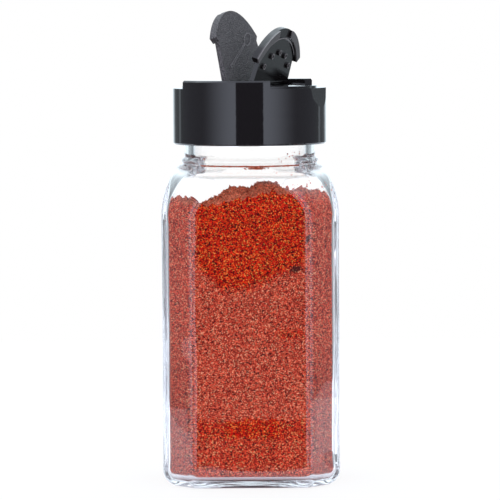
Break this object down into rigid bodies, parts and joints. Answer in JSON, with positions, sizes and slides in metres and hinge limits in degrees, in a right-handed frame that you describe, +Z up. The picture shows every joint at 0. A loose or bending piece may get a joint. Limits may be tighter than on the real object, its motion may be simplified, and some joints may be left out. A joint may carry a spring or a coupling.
{
  "type": "spice shaker",
  "caption": "Clear square glass spice jar filled with red ground spice, with a black screw cap whose hinged flaps open a pouring hole and sifting holes.",
  "frame": {"origin": "centre of the jar's base, on the surface that it stands on", "axes": "+Z up along the jar's and the cap's common axis; X and Y square to the jar's flat sides, with -Y the side seen from the front"},
  "size_m": [0.044, 0.044, 0.1179],
  "materials": {
    "clear_glass": "polished",
    "ground_spice": "matte",
    "foam_liner": "matte",
    "black_cap": "gloss",
    "black_flap": "satin"
  },
  "bodies": {
    "jar": {"glass_jar": "clear_glass", "spice_fill": "ground_spice"},
    "liner": {"liner_ring": "foam_liner"},
    "cap": {"cap_shell": "black_cap"},
    "pour_flap": {"pour_flap": "black_flap"},
    "sifter_flap": {"sifter_flap": "black_flap"}
  },
  "joints": [
    {"name": "cap_lift", "type": "slide", "parent": "jar", "child": "liner", "axis": [0, 0, 1], "range_m": [0, 0.00636]},
    {"name": "cap_turn", "type": "hinge", "parent": "liner", "child": "cap", "pos_m": [0, 0, 0.0927], "axis": [0, 0, 1], "range_deg": [0, 540]},
    {"name": "pour_hinge", "type": "hinge", "parent": "cap", "child": "pour_flap", "pos_m": [-0.00084, 0.00031, 0.10005], "axis": [0.3469, 0.9379, 0], "range_deg": [-75.5, 14.5]},
    {"name": "sifter_hinge", "type": "hinge", "parent": "cap", "child": "sifter_flap", "pos_m": [0.00469, -0.00173, 0.10005], "axis": [-0.3469, -0.9379, 0], "range_deg": [-73, 17]}
  ],
  "couplings": [
    {"joint": "cap_lift", "follows": "cap_turn", "m_per_rad": 0.0006737}
  ]
}
